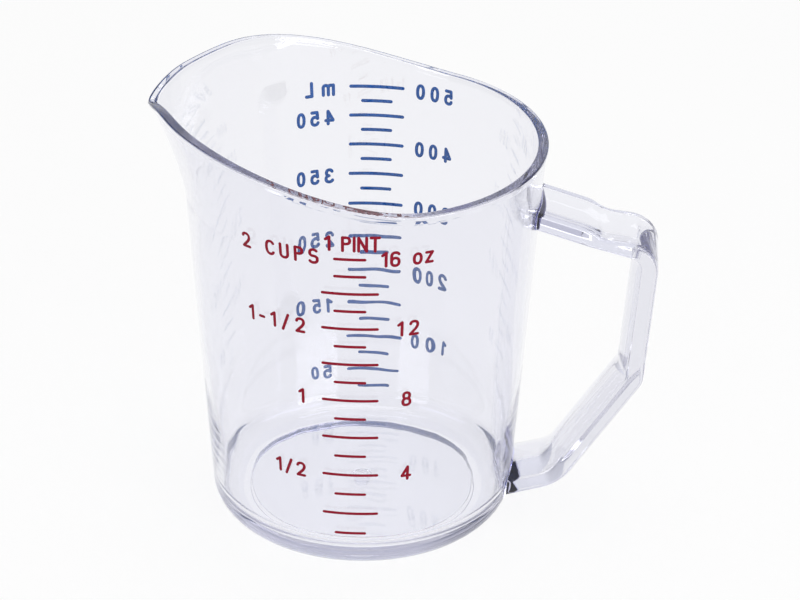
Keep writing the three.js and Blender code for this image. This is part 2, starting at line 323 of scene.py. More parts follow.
def vessel_section():
    """Corners (r, z, radius) of the half section, as rows from one pole to the other."""
    foot_radius = BASE_RADIUS - FOOT_INSET
    ring_inner = foot_radius - FOOT_RING_WIDTH
    edge = RECESS_EDGE_RADIUS
    rim_outer = wall_radius(RIM_HEIGHT) + BEAD_STEP
    bead_foot = RIM_HEIGHT - BEAD_HEIGHT
    bead_root = bead_foot - BEAD_BLEND
    corners = [
        (0, 0, 0),
        (GATE_PAD_RADIUS, 0, edge),
        (GATE_PAD_RADIUS + RECESS_DRAFT, UNDERSIDE_RECESS, edge),
        (ring_inner - RECESS_DRAFT, UNDERSIDE_RECESS, edge),
        (ring_inner, 0, edge),
        (wall_radius(0), 0, BASE_CORNER_RADIUS),
        (wall_radius(bead_root), bead_root, BEAD_ROOT_RADIUS),
        (rim_outer, bead_foot, BEAD_EDGE_RADIUS),
        (rim_outer, RIM_HEIGHT, LIP_EDGE_RADIUS),
        (wall_radius(RIM_HEIGHT) - WALL_AT_FLOOR, RIM_HEIGHT, LIP_INNER_RADIUS),
        (wall_radius(FLOOR_TOP) - WALL_AT_FLOOR, FLOOR_TOP, FLOOR_FILLET),
        (0, FLOOR_TOP, 0),
    ]
    return joined([with_rows(stretch) for stretch in rounded_path(corners)])


print("points on the vessel's half section:", len(vessel_section()))

# %% Surface of the vessel
WAVE_DEPTH = 0.012
WAVES_START = (12, 10)
WAVES_END = (RIM_HEIGHT - 10, 8)
BEND_MARGIN = 0.1


def wall_waves(turn, z):
    """Shallow waves on the inside: products of a sine round the wall and a sine up it, at three scales."""
    broad = np.sin(13 * turn + 0.09 * z) * np.sin(0.21 * z + 2 * np.sin(3 * turn))
    middle = np.sin(29 * turn - 0.13 * z + 1.3) * np.sin(0.37 * z + 0.7)
    fine = np.sin(47 * turn + 0.31 * z + 0.4) * np.sin(0.53 * z + 2.1)
    return WAVE_DEPTH * (broad + 0.6 * middle + 0.3 * fine)


def extra_thickness(height):
    """How much thicker the wall is than at the floor: less than nothing at the waist, more at the rim."""
    thinner = (WALL_AT_WAIST - WALL_AT_FLOOR) * smooth(height, THINNING_START, THINNING_SPAN)
    thicker = (WALL_AT_RIM - WALL_AT_WAIST) * smooth(height, THICKENING_START, THICKENING_SPAN)
    return thinner + thicker


def vessel_body():
    """The section turned about the axis, then moved up by the rim's climb and out to the leaning wall.

    What lies further in than the lip's inner bend belongs to the inside: it takes the wall's change of
    thickness and the waves, which start above the floor and end below the rim."""
    section = vessel_section()
    section_radius = section[1:-1, :1]
    section_height = section[1:-1, 1:]
    turn = np.linspace(-np.pi, np.pi, AROUND_VESSEL, endpoint=False)[None, :]
    angle = np.degrees(np.abs(turn))
    drawn = np.clip((section_height - STRETCH_START) / (STRETCH_DEPTH - BEAD_HEIGHT - BEAD_BLEND), 0, 1)
    z = section_height + rim_lift(angle) * drawn
    inset = wall_radius(section_height) - section_radius
    on_inside = inset > WALL_AT_FLOOR - LIP_INNER_RADIUS - BEND_MARGIN
    inset = inset + on_inside * extra_thickness(section_height)
    in_wall = on_inside * smooth(section_height, *WAVES_START) * (1 - smooth(section_height, *WAVES_END))
    radius = outside_radius(z, angle) - inset + in_wall * wall_waves(turn, z)
    rings = np.stack([radius * np.cos(turn), radius * np.sin(turn), z + 0 * turn], axis=-1)
    return closed_body(rings, start=(0, 0, 0), end=(0, 0, FLOOR_TOP))


# %% [markdown]
# ## The handle's surface
#
# The handle is one band, bent into a grip. Its outer face and its finger face each follow a path of
# straights and round corners, and the two paths are cut into the same stretches, so that a bend inside
# lies against the same bend outside. A section is then drawn between each pair of points: a flat back,
# round edges, and a low arch on the finger side. Both ends run on to the wall and end on it, a bond line
# away.

# %% Sizes of the handle, in millimetres
HANDLE_WIDTH = 19
BAND_THICKNESS = 5.15
BAND_EDGE_RADIUS = 1.2
FINGER_CROWN = 1.9
JOINT_GAP = 0.3
ARM_BELOW_RIM = 14.9
ARM_SLOPE = -0.303
THUMB_STEP = 1.5
THUMB_STEP_START = 12.7
THUMB_STEP_LENGTH = 3.7
THUMB_STEP_RADIUS = 8
THUMB_REST_RADIUS = 9
THUMB_REST_SLOPE = -0.1
UNDER_REST_SLOPE = -0.25
HANDLE_REACH = 31.3
SHOULDER_RADIUS = 8.5
GRIP_SLOPE = 0.07
ELBOW_HEIGHT = 42.9
ELBOW_RADIUS = 5
DIAGONAL_SLOPE = 1.574
LOWER_ARM_HEIGHT = 6.4
LOWER_ARM_SLOPE = 0.31
HEEL_RADIUS = 14
INNER_SHOULDER_RADIUS = 2.6
ROOT_LENGTH = 1.2

ARM_HEIGHT = RIM_HEIGHT - ARM_BELOW_RIM
ARM = (wall_radius(ARM_HEIGHT), ARM_HEIGHT, ARM_SLOPE)
LOWER_ARM = (wall_radius(LOWER_ARM_HEIGHT), LOWER_ARM_HEIGHT, LOWER_ARM_SLOPE)


# %% The handle's two edges
def height_on(line, x):
    """Height of a line (run, height, slope) at x: height + slope (x - run)."""
    run, height, slope = line
    return height + slope * (x - run)


def crossing(a, b):
    """Where two lines (run, height, slope) meet."""
    x = (b[1] - a[1] + a[2] * a[0] - b[2] * b[0]) / (a[2] - b[2])
    return x, height_on(a, x)


def shifted(line, distance):
    """The same line moved square to itself, upwards where the distance is positive."""
    run, height, slope = line
    return run, height + distance * np.hypot(1, slope), slope


def at_root(line):
    """The point of a line a short way off the wall, as a sharp corner."""
    run, height, slope = line
    return run + ROOT_LENGTH, height + slope * ROOT_LENGTH, 0


def handle_edges():
    """The outer and the finger side's paths, each as seven stretches that match."""
    arm_run = ARM[0]
    step_top = ARM_HEIGHT + ARM_SLOPE * THUMB_STEP_START
    rest_height = step_top + ARM_SLOPE * THUMB_STEP_LENGTH - THUMB_STEP
    rest = (arm_run + THUMB_STEP_START + THUMB_STEP_LENGTH, rest_height, THUMB_REST_SLOPE)
    corner_height = rest_height + THUMB_REST_SLOPE * (arm_run + HANDLE_REACH - rest[0])
    leg = (arm_run + HANDLE_REACH, corner_height, 1 / GRIP_SLOPE)
    elbow_run = leg[0] + GRIP_SLOPE * (ELBOW_HEIGHT - corner_height)
    diagonal = (elbow_run, ELBOW_HEIGHT, DIAGONAL_SLOPE)
    outer = rounded_path([
        at_root(ARM),
        (arm_run + THUMB_STEP_START, step_top, THUMB_STEP_RADIUS),
        (rest[0], rest[1], THUMB_REST_RADIUS),
        (*crossing(rest, leg), SHOULDER_RADIUS),
        (*crossing(leg, diagonal), ELBOW_RADIUS),
        (*crossing(diagonal, LOWER_ARM), HEEL_RADIUS),
        at_root(LOWER_ARM),
    ])

    under = shifted(ARM, -BAND_THICKNESS)
    bend_run = arm_run + THUMB_STEP_START
    bend_height = under[1] + ARM_SLOPE * THUMB_STEP_START
    under_rest = (bend_run, bend_height, UNDER_REST_SLOPE)
    leg_inner = shifted(leg, BAND_THICKNESS)
    diagonal_inner = shifted(diagonal, BAND_THICKNESS)
    lower_top = shifted(LOWER_ARM, BAND_THICKNESS)
    inner = rounded_path([
        at_root(under),
        (bend_run, bend_height, SHOULDER_RADIUS),
        (*crossing(under_rest, leg_inner), INNER_SHOULDER_RADIUS),
        (*crossing(leg_inner, diagonal_inner), ELBOW_RADIUS),
        (*crossing(diagonal_inner, lower_top), HEEL_RADIUS - BAND_THICKNESS),
        at_root(lower_top),
    ])
    return [joined(outer[:5]), *outer[5:]], [joined(inner[:3]), *inner[3:]]


# %% Section of the band and its way along the edges
STATIONS = (84, 15, 34, 11, 26, 21, 16)
SECTION_STEPS = 7
CONE_ROUNDS = 6
ROOT_WAYS = (0, 0.06, 0.5)
CAP_SHARES = (0.2, 0.4, 0.6, 0.8, 0.97)


def finger_arch():
    """Half the band's width h between its round edges, and the radius of the arch on the finger side.

    With a crown c, the arch is part of a circle of radius (h squared + c squared) / 2 c."""
    half = HANDLE_WIDTH / 2 - BAND_EDGE_RADIUS
    return half, (half**2 + FINGER_CROWN**2) / (2 * FINGER_CROWN)


def band_section():
    """Places round the band as (side, depth, across). Side 0 is the outer face and 1 the finger side, and
    depth is measured from that side inwards to the fingers. The edge's arc touches the arch."""
    half, arch = finger_arch()
    touch = np.arcsin(half / (arch - BAND_EDGE_RADIUS))
    edge_depth = FINGER_CROWN - arch + (arch - BAND_EDGE_RADIUS) * np.cos(touch)
    back = np.linspace(-half, half, 2 * SECTION_STEPS + 1)
    outer_turn = np.linspace(0, np.pi / 2, SECTION_STEPS + 1)[1:]
    inner_turn = np.linspace(np.pi / 2, touch, SECTION_STEPS + 1)
    arch_turn = np.linspace(touch, -touch, 3 * SECTION_STEPS + 1)[1:-1]
    right_outer = np.column_stack([
        0 * outer_turn,
        BAND_EDGE_RADIUS * (1 - np.cos(outer_turn)),
        half + BAND_EDGE_RADIUS * np.sin(outer_turn),
    ])
    right_inner = np.column_stack([
        0 * inner_turn + 1,
        edge_depth + BAND_EDGE_RADIUS * np.cos(inner_turn),
        half + BAND_EDGE_RADIUS * np.sin(inner_turn),
    ])
    crown = np.column_stack([
        0 * arch_turn + 1,
        FINGER_CROWN - arch + arch * np.cos(arch_turn),
        arch * np.sin(arch_turn),
    ])
    flat = np.column_stack([0 * back, 0 * back, back])
    right = np.vstack([right_outer, right_inner])
    left = right[::-1] * (1, 1, -1)
    return np.vstack([flat, right, crown, left])


def on_wall_cone(ring, slope):
    """A ring moved along its arm's slope until it lies on the wall, a bond line off it.

    Each round takes x from the circle x squared + y squared = radius squared, at the height that the last
    round gave."""
    x, y, z = ring.T
    height = z
    for _ in range(CONE_ROUNDS):
        run = np.sqrt((wall_radius(height) + JOINT_GAP) ** 2 - y**2)
        height = z - slope * (x - run)
    return np.column_stack([run, y, height])


def end_cap(ring, shares):
    """Rings inside an end ring, drawn in to its middle by each share, all on the wall's cone."""
    middle = ring.mean(axis=0)
    share = np.array(shares)[:, None]
    y = middle[1] + share * (ring[:, 1] - middle[1])
    z = middle[2] + share * (ring[:, 2] - middle[2])
    x = np.sqrt((wall_radius(z) + JOINT_GAP) ** 2 - y**2)
    return np.stack([x, y, z], axis=-1)


def handle_body():
    """Sections from one end of the band to the other, with both ends carried on to the wall.

    A place between the two edges is the outer point, plus side times the way across to the finger side,
    plus depth times that way's unit vector."""
    outer_edge, inner_edge = handle_edges()
    outer = joined([spaced(stretch, count) for stretch, count in zip(outer_edge, STATIONS)])
    inner = joined([spaced(stretch, count) for stretch, count in zip(inner_edge, STATIONS)])
    side, depth, across = band_section().T
    inwards = inner - outer
    unit = inwards / np.linalg.norm(inwards, axis=1)[:, None]
    place = outer[:, None, :] + side[:, None] * inwards[:, None, :] + depth[:, None] * unit[:, None, :]
    rings = np.stack([place[..., 0], 0 * place[..., 0] + across, place[..., 1]], axis=-1)
    ways = np.array(ROOT_WAYS)[:, None, None]
    top = on_wall_cone(rings[0], ARM_SLOPE)
    bottom = on_wall_cone(rings[-1], LOWER_ARM_SLOPE)
    top_root = top + ways * (rings[0] - top)
    bottom_root = bottom + ways[::-1] * (rings[-1] - bottom)
    top_cap = end_cap(top, CAP_SHARES)
    bottom_cap = end_cap(bottom, CAP_SHARES[::-1])
    rings = np.concatenate([top_cap, top_root, rings, bottom_root, bottom_cap])
    top_pole = end_cap(top, [0])[0, 0]
    bottom_pole = end_cap(bottom, [0])[0, 0]
    return closed_body(rings, start=top_pole, end=bottom_pole)


print("points round the band:", len(band_section()), " upper arm starts at, mm:", round(ARM_HEIGHT, 2))

# %% [markdown]
# ## Printed strokes
#
# The marks and letters of a scale are all drawn with one round pen, a little wider on the metric scale. A
# stroke is a path in the plane of the print, and the ink on it is a low tube with a flattened top and
# round ends. The flat print is then wrapped round the wall: distance along the wall becomes an angle,
# height stays height, and the ink's thickness goes outwards. The ink is set into the plastic by a few
# hundredths of a millimetre, as print is bonded to it, so the plastic shows the ink from inside without
# an air gap.
#
# A font from Blender's text object could make the letters. A pen is better here, because the real letters
# have one even stroke with round ends, and the same pen draws the marks. Strokes that cross lie at
# slightly different levels, so that no two surfaces share a place.

# %% The pen
INK_RELIEF = 0.11
INK_BOND = 0.03
LAYERS = 4
LAYER_STEP = 0.004
INK_AROUND = 12
INK_SQUARENESS = 0.5
END_TURNS = (72, 48, 24)


def ink_stroke(path, pen, closed=False, layer=0):
    """A stroke as rings of (along, height, proud) and its two poles, or None for a closed stroke.

    The tube's section is a superellipse: cosine and sine to the power of a half. At the ends, half the
    width shrinks as the cosine of an angle while the ring moves on by its sine, which makes a round end."""
    step = np.roll(path, -1, axis=0) - np.roll(path, 1, axis=0)
    if not closed:
        step[0] = path[1] - path[0]
        step[-1] = path[-1] - path[-2]
    ahead = step / np.linalg.norm(step, axis=1)[:, None]
    half = np.full(len(path), pen / 2)
    if not closed:
        turn = np.radians(END_TURNS)
        start = path[0] - ahead[0] * np.sin(turn)[:, None] * pen / 2
        end = path[-1] + ahead[-1] * np.sin(turn[::-1])[:, None] * pen / 2
        poles = [path[0] - ahead[0] * pen / 2, path[-1] + ahead[-1] * pen / 2]
        path = np.vstack([start, path, end])
        ends = len(turn)
        ahead = np.vstack([np.repeat(ahead[:1], ends, 0), ahead, np.repeat(ahead[-1:], ends, 0)])
        half = np.concatenate([np.cos(turn) * pen / 2, half, np.cos(turn[::-1]) * pen / 2])
    beside = np.column_stack([-ahead[:, 1], ahead[:, 0]])
    round_ring = np.linspace(0, 2 * np.pi, INK_AROUND, endpoint=False) + np.pi / INK_AROUND
    across = np.sign(np.cos(round_ring)) * np.abs(np.cos(round_ring)) ** INK_SQUARENESS
    up = np.sign(np.sin(round_ring)) * np.abs(np.sin(round_ring)) ** INK_SQUARENESS
    middle = (INK_RELIEF - INK_BOND) / 2 + layer * LAYER_STEP
    proud = middle + up * (INK_RELIEF + INK_BOND) / 2
    flat = path[:, None, :] + (half[:, None] * across)[..., None] * beside[:, None, :]
    rings = np.concatenate([flat, np.broadcast_to(proud[:, None], flat.shape[:2] + (1,))], axis=-1)
    if closed:
        return rings, None, None
    return rings, np.append(poles[0], middle), np.append(poles[1], middle)


def on_wall(flat, scale_angle, height):
    """Wraps (along, height, proud) round the wall. The turn is the scale's angle plus along / radius."""
    if flat is None:
        return None
    turn = np.radians(scale_angle) + flat[..., 0] / wall_radius(height)
    angle = np.degrees(np.abs((turn + np.pi) % (2 * np.pi) - np.pi))
    radius = outside_radius(flat[..., 1], angle) + flat[..., 2]
    return np.stack([radius * np.cos(turn), radius * np.sin(turn), flat[..., 1]], axis=-1)


def printed(strokes, scale_angle, height, pen):
    """Closed bodies of ink for strokes (path, closed) that are placed along the wall and up it."""
    bodies = []
    for layer, (path, closed) in enumerate(strokes):
        parts = ink_stroke(path, pen, closed, layer % LAYERS)
        bodies.append(closed_body(*(on_wall(part, scale_angle, height) for part in parts)))
    return bodies


# %% [markdown]
# ## The letters
#
# Each sign is a few strokes on a grid where the line of the pen runs from 0 at the foot to 1 at the top.
# Bows are parts of an ellipse that is squared a little, as on stencils and engraved scales. Only the
# signs that the two scales need are drawn. HIGH is the height of a small letter.

# %% Strokes of the signs
BOW_SQUARENESS = 0.86
STICK_POINTS = 6
BOW_STEPS = 14
BLANK_WIDTH = 0.3


def stick(x0, y0, x1, y1):
    """A straight stroke."""
    return np.linspace((x0, y0), (x1, y1), STICK_POINTS), False


def bow_path(x, y, half_width, half_height, start, end, steps=BOW_STEPS):
    """An arc from one angle to another, its cosine and sine raised to a power below 1 to square it."""
    turn = np.radians(np.linspace(start, end, steps + 1))
    across = np.sign(np.cos(turn)) * np.abs(np.cos(turn)) ** BOW_SQUARENESS
    up = np.sign(np.sin(turn)) * np.abs(np.sin(turn)) ** BOW_SQUARENESS
    return np.column_stack([x + half_width * across, y + half_height * up])


def bow(x, y, half_width, half_height, start, end):
    """An open bow."""
    return bow_path(x, y, half_width, half_height, start, end), False


def loop(x, y, half_width, half_height):
    """A closed bow."""
    return bow_path(x, y, half_width, half_height, 0, 360, 2 * BOW_STEPS)[:-1], True


def run_on(*paths):
    """Several paths as one stroke, for signs that are drawn without lifting the pen."""
    return np.vstack(paths), False


HIGH = 0.74
SIGNS = {
    "0": [loop(0, 0.5, 0.24, 0.5)],
    "1": [stick(0.08, 0, 0.08, 1), stick(0.08, 1, -0.16, 0.8)],
    "2": [
        run_on(bow_path(0, 0.735, 0.25, 0.265, 165, -28), [[0.12, 0.42], [-0.08, 0.2], [-0.25, 0]]),
        stick(-0.25, 0, 0.26, 0),
    ],
    "3": [bow(-0.02, 0.755, 0.23, 0.245, 155, -85), bow(-0.02, 0.255, 0.27, 0.255, 85, -155)],
    "4": [stick(0.1, 1, -0.28, 0.3), stick(-0.28, 0.27, 0.28, 0.27), stick(0.1, 1, 0.1, 0)],
    "5": [
        stick(0.22, 1, -0.19, 1),
        stick(-0.19, 1, -0.23, 0.52),
        bow(-0.01, 0.315, 0.26, 0.315, 140, -155),
    ],
    "6": [
        loop(0, 0.29, 0.25, 0.29),
        run_on(bow_path(0.01, 0.7, 0.26, 0.3, 35, 180), [[-0.25, 0.5], [-0.25, 0.3]]),
    ],
    "8": [loop(0, 0.76, 0.21, 0.24), loop(0, 0.26, 0.25, 0.26)],
    "C": [bow(0.02, 0.5, 0.29, 0.5, 42, 318)],
    "U": [
        run_on([[-0.26, 1], [-0.26, 0.6]], bow_path(0, 0.3, 0.26, 0.3, 180, 360), [[0.26, 0.6], [0.26, 1]]),
    ],
    "P": [
        stick(-0.23, 0, -0.23, 1),
        run_on([[-0.2, 1], [0, 1]], bow_path(0, 0.76, 0.24, 0.24, 80, -80), [[0, 0.52], [-0.2, 0.52]]),
    ],
    "S": [run_on(bow_path(0, 0.755, 0.24, 0.245, 35, 265), bow_path(0, 0.255, 0.27, 0.255, 80, -150))],
    "I": [stick(0, 0, 0, 1)],
    "N": [stick(-0.26, 0, -0.26, 1), stick(-0.26, 1, 0.26, 0), stick(0.26, 0, 0.26, 1)],
    "T": [stick(-0.27, 1, 0.27, 1), stick(0, 0.98, 0, 0)],
    "L": [stick(-0.2, 1, -0.2, 0), stick(-0.2, 0, 0.24, 0)],
    "o": [loop(0, HIGH / 2, 0.24, HIGH / 2)],
    "z": [stick(-0.21, HIGH, 0.21, HIGH), stick(0.21, HIGH, -0.21, 0), stick(-0.21, 0, 0.22, 0)],
    "m": [
        stick(-0.4, 0, -0.4, HIGH),
        run_on(bow_path(-0.2, HIGH - 0.22, 0.2, 0.22, 180, 0), [[0, 0.3], [0, 0]]),
        run_on(bow_path(0.2, HIGH - 0.22, 0.2, 0.22, 180, 0), [[0.4, 0.3], [0.4, 0]]),
    ],
    "-": [stick(-0.15, 0.42, 0.15, 0.42)],
    "/": [stick(-0.2, -0.08, 0.2, 1.08)],
}


def sign_width(sign):
    """Width of a sign's pen line, and of a blank."""
    if sign == " ":
        return BLANK_WIDTH
    ends = np.vstack([path for path, _ in SIGNS[sign]])[:, 0]
    return ends.max() - ends.min()


def lettering(text, left, right, middle, letter_height, pen):
    """Strokes of a text from left to right: what its signs leave of that length is shared out as gaps."""
    scale = letter_height - pen
    widths = [sign_width(sign) * scale for sign in text]
    gap = (right - left - pen - sum(widths)) / max(len(text) - 1, 1)
    strokes = []
    at = left + pen / 2
    for sign, width in zip(text, widths):
        outline = SIGNS.get(sign, [])
        if outline:
            lowest = np.vstack([path for path, _ in outline])[:, 0].min()
        for path, closed in outline:
            place = path * scale - (lowest * scale, scale / 2) + (at, middle)
            strokes.append((place, closed))
        at += width + gap
    return strokes


print("signs drawn:", "".join(SIGNS))

# %% [markdown]
# ## Shader maths in Python
#
# A material is a graph of nodes. Written out node by node, even a simple sum takes half a page. This
# small class wraps a node's output, so that an expression such as 1 - mask adds its own Math node. Every
# other node comes from one method, which takes the node's type, its settings, and the values or links of
# its sockets.

# %% A socket that adds up
class Socket:
    """A node's output in a tree. Its operators make Math nodes."""

    def __init__(self, tree, output):
        self.tree = tree
        self.output = output

    def maths(self, operation, first, second):
        """A Math node of two values or sockets."""
        return self.tree.node("ShaderNodeMath", {"operation": operation}, {0: first, 1: second})

    def __add__(self, other):
        return self.maths("ADD", self, other)

    def __radd__(self, other):
        return self.maths("ADD", other, self)

    def __sub__(self, other):
        return self.maths("SUBTRACT", self, other)

    def __rsub__(self, other):
        return self.maths("SUBTRACT", other, self)

    def __mul__(self, other):
        return self.maths("MULTIPLY", self, other)

    def __rmul__(self, other):
        return self.maths("MULTIPLY", other, self)


class Tree:
    """The nodes of a material or of the world."""

    def __init__(self, owner):
        owner.use_nodes = True
        self.tree = owner.node_tree
        self.tree.nodes.clear()

    def node(self, kind, settings=None, sockets=None, output=0):
        """Adds a node: its settings first, a ramp's stops among them, then its sockets' values or links."""
        made = self.tree.nodes.new(kind)
        for name, value in (settings or {}).items():
            if name == "stops":
                self.set_stops(made.color_ramp, value)
            else:
                setattr(made, name, value)
        for key, value in (sockets or {}).items():
            if isinstance(value, Socket):
                self.tree.links.new(value.output, made.inputs[key])
            else:
                made.inputs[key].default_value = value
        return Socket(self, made.outputs[output]) if made.outputs else made

    def set_stops(self, ramp, stops):
        """A ramp's stops, from (position, grey) or (position, colour) pairs."""
        while len(ramp.elements) < len(stops):
            ramp.elements.new(1)
        for element, (position, colour) in zip(ramp.elements, stops):
            element.position = position
            element.color = (*colour, 1) if isinstance(colour, tuple) else (colour, colour, colour, 1)


# %% [markdown]
# ## Clear plastic
#
# The plastic is a smooth, slightly cool glass with the bending power of polycarbonate. A little colour is
# taken off in its depth, which a wall barely shows and a rim seen along the wall shows strongly: light
# that has run down inside a wall comes out dark, and that gives clear things their dark edges.
#
# A lamp's light has to pass the plastic too, or the jug would throw the shadow of a solid one. So shadow
# rays meet a pale see-through surface instead of the glass.

# %% The clear plastic
PLASTIC_IOR = 1.585
PLASTIC_TINT = (0.93, 0.932, 0.965, 1)
PLASTIC_DEPTH_COLOUR = (0.90, 0.90, 0.925, 1)
PLASTIC_DEPTH_DENSITY = 72
SHADOW_TINT = (0.9, 0.905, 0.92, 1)


def clear_plastic():
    """Smooth glass with faint flow marks, an absorption in its depth, and a pale surface for shadow rays."""
    material = bpy.data.materials.new("clear_plastic")
    tree = Tree(material)
    place = tree.node("ShaderNodeTexCoord", output="Object")
    flow = tree.node("ShaderNodeTexNoise", None, {
        "Vector": place,
        "Scale": 70,
        "Detail": 2,
        "Roughness": 0.4,
    })
    bump = tree.node("ShaderNodeBump", None, {"Strength": 0.05, "Distance": 0.001, "Height": flow})
    glass = tree.node("ShaderNodeBsdfPrincipled", None, {
        "Base Color": PLASTIC_TINT,
        "Roughness": 0,
        "IOR": PLASTIC_IOR,
        "Transmission Weight": 1,
        "Normal": bump,
    })
    pale = tree.node("ShaderNodeBsdfTransparent", None, {"Color": SHADOW_TINT})
    shadow = tree.node("ShaderNodeLightPath", output="Is Shadow Ray")
    surface = tree.node("ShaderNodeMixShader", None, {0: shadow, 1: glass, 2: pale})
    depth = tree.node("ShaderNodeVolumeAbsorption", None, {
        "Color": PLASTIC_DEPTH_COLOUR,
        "Density": PLASTIC_DEPTH_DENSITY,
    })
    tree.node("ShaderNodeOutputMaterial", None, {"Surface": surface, "Volume": depth})
    return material


# %% [markdown]
# ## Ink
#
# Screen print is an even film with a weak sheen. Its colour varies a little with its thickness, and its
# surface has the fine grain of the mesh that it was pressed through.

# %% Ink
INK_ROUGHNESS = 0.34
INK_UNEVENNESS = 0.12
INK_SHEEN = 0.15


def ink(name, thin, thick):
    """A print's colour from two close shades by a fine noise, with a mesh's grain as bump."""
    material = bpy.data.materials.new(name)
    tree = Tree(material)
    place = tree.node("ShaderNodeTexCoord", output="Object")
    cloud = tree.node("ShaderNodeTexNoise", None, {"Vector": place, "Scale": 900, "Detail": 3})
    grain = tree.node("ShaderNodeTexNoise", None, {"Vector": place, "Scale": 5200, "Detail": 1})
    colours = {"Factor": cloud, "A": thin, "B": thick}
    shade = tree.node("ShaderNodeMix", {"data_type": "RGBA"}, colours, "Result")
    bump = tree.node("ShaderNodeBump", None, {"Strength": 0.25, "Distance": 0.00003, "Height": grain})
    film = tree.node("ShaderNodeBsdfPrincipled", None, {
        "Base Color": shade,
        "Roughness": INK_ROUGHNESS + INK_UNEVENNESS * cloud,
        "Specular IOR Level": INK_SHEEN,
        "Normal": bump,
    })
    tree.node("ShaderNodeOutputMaterial", None, {"Surface": film})
    return material


# %% [markdown]
# ## Making the pieces
#
# The vessel and the handle stand for the solids of the same name. Each mark stands for its own solid, and
# the letters are print alone: they ride on the jug and stand for nothing.
#
# The handle's ends are welded to the wall, and light runs on from the one plastic into the other without
# a bend. Two pieces of glass that only touch don't do that: the thin gap between them acts as a mirror.
# So the faces on both sides of a weld have a see-through material of their own. Its colour is painted shade,
# dark at the upper arm and paler at the lower one, and it paints the dark slivers where the handle leaves
# the wall.

# %% The welds, with painted shade
# These two colours are painted shade: the upper weld is painted darker than the lower one.
UPPER_WELD_PAINTED_SHADE = (0.40, 0.40, 0.58, 1)
LOWER_WELD_PAINTED_SHADE = (0.74, 0.74, 0.88, 1)
WELD_REACH = 0.02
WELD_DEPTH = 0.1


def weld(name, painted_shade):
    """See-through and unbent, coloured dark as painted shade."""
    material = bpy.data.materials.new(name)
    tree = Tree(material)
    clear = tree.node("ShaderNodeBsdfTransparent", None, {"Color": painted_shade})
    tree.node("ShaderNodeOutputMaterial", None, {"Surface": clear})
    return material


def weld_at(points):
    """Which weld points (x, y, z) lie at, on either side of it: 1 is the upper, 2 the lower, 0 is none.

    A weld lies near the wall's cone and inside an arm's end. That end reaches from the arm's outer line,
    square to the slope, over the band and its arch at that y."""
    x, y, z = points.T
    off_wall = np.hypot(x, y) - wall_radius(z)
    _, arch = finger_arch()
    crown = FINGER_CROWN - arch + np.sqrt(np.clip(arch**2 - y**2, 0, None))
    under_arm = height_on(ARM, x) - z
    over_arm = z - height_on(LOWER_ARM, x)
    in_upper = (under_arm > 0) & (under_arm < BAND_THICKNESS * np.hypot(1, ARM_SLOPE) + crown)
    in_lower = (over_arm > 0) & (over_arm < BAND_THICKNESS * np.hypot(1, LOWER_ARM_SLOPE) + crown)
    at_wall = (off_wall > -WELD_DEPTH) & (off_wall < JOINT_GAP + WELD_REACH) & (x > 0)
    at_end = at_wall & (np.abs(y) < HANDLE_WIDTH / 2)
    return np.where(at_end & in_upper, 1, np.where(at_end & in_lower, 2, 0))


def weld_faces(piece, materials):
    """Gives the two welds' materials to the faces whose centres lie at a weld."""
    mesh = piece.data
    for material in materials:
        mesh.materials.append(material)
    centres = np.empty(3 * len(mesh.polygons))
    mesh.polygons.foreach_get("center", centres)
    welded = weld_at(centres.reshape(-1, 3) / MM)
    mesh.polygons.foreach_set("material_index", welded.astype(np.int32))
    print(piece.name, "faces:", len(mesh.polygons), "at the upper and lower weld:", *np.bincount(welded)[1:])


# %% Vessel and handle
plastic = clear_plastic()
vessel = make_piece("clear_vessel", [vessel_body()], plastic, ["vessel"])
handle = make_piece("clear_handle", [handle_body()], plastic, ["handle"])
# Both weld materials carry painted shade, the dark slivers at the handle's ends.
welds_with_painted_shade = [weld("weld_upper_painted_shade", UPPER_WELD_PAINTED_SHADE), weld("weld_lower_painted_shade", LOWER_WELD_PAINTED_SHADE)]
for piece in (vessel, handle):
    weld_faces(piece, welds_with_painted_shade)

# %% [markdown]
# ## The two scales
#
# The US scale counts fluid ounces in red on the near side, and the metric scale counts millilitres in
# blue on the far side, where it shows through the walls. Every second mark is a long one, but for the
# fullest ounce mark. Each mark is a stroke of the pen at the height that its volume fills.

# %% The marks
US_ANGLE = -89
METRIC_ANGLE = 91
US_MARKS = (14.4, 8.2)
METRIC_MARKS = (15.4, 8.8)
US_PEN = 0.78
METRIC_PEN = 0.94
MARK_STEPS = 20

red = ink("red_print", (0.25, 0.002, 0.018, 1), (0.20, 0.002, 0.014, 1))
blue = ink("blue_print", (0.0, 0.095, 0.38, 1), (0.0, 0.08, 0.32, 1))


def print_scale(name, unit, amounts, is_long, lengths, pen, angle, material, slot):
    """A mark for each amount, at the height that it fills, in place of the solid mark of that number."""
    long_mark, short_mark = lengths
    digits = len(str(amounts[-1]))
    for amount in amounts:
        height = fill_height(amount * unit)
        half = (long_mark if is_long(amount) else short_mark) / 2 - pen / 2
        path = np.linspace((-half, height), (half, height), MARK_STEPS)
        number = f"{name}_{amount:0{digits}d}"
        bodies = printed([(path, False)], angle, height, pen)
        make_piece(f"print_{number}", bodies, material, [f"mark_{number}"])


ounces = range(1, OUNCES + 1)
millilitres = range(25, MILLILITRES + 1, 25)
us_print = (US_PEN, US_ANGLE, red, "red_print")
metric_print = (METRIC_PEN, METRIC_ANGLE, blue, "blue_print")
print_scale("oz", OUNCE, ounces, lambda amount: amount % 2 == 0 and amount < OUNCES, US_MARKS, *us_print)
print_scale("ml", MILLILITRE, millilitres, lambda amount: amount % 50 == 0, METRIC_MARKS, *metric_print)
print("marks:", len(ounces), "for ounces and", len(millilitres), "for millilitres")

# %% The letters beside the marks
LETTER_HEIGHT = 4.5
METRIC_DROP = 0.35
TWO_DIGITS = 6.6
NUMBER_LEFT = (-22.1, -10.95)
NUMBER_RIGHT = (11.75, 22.7)

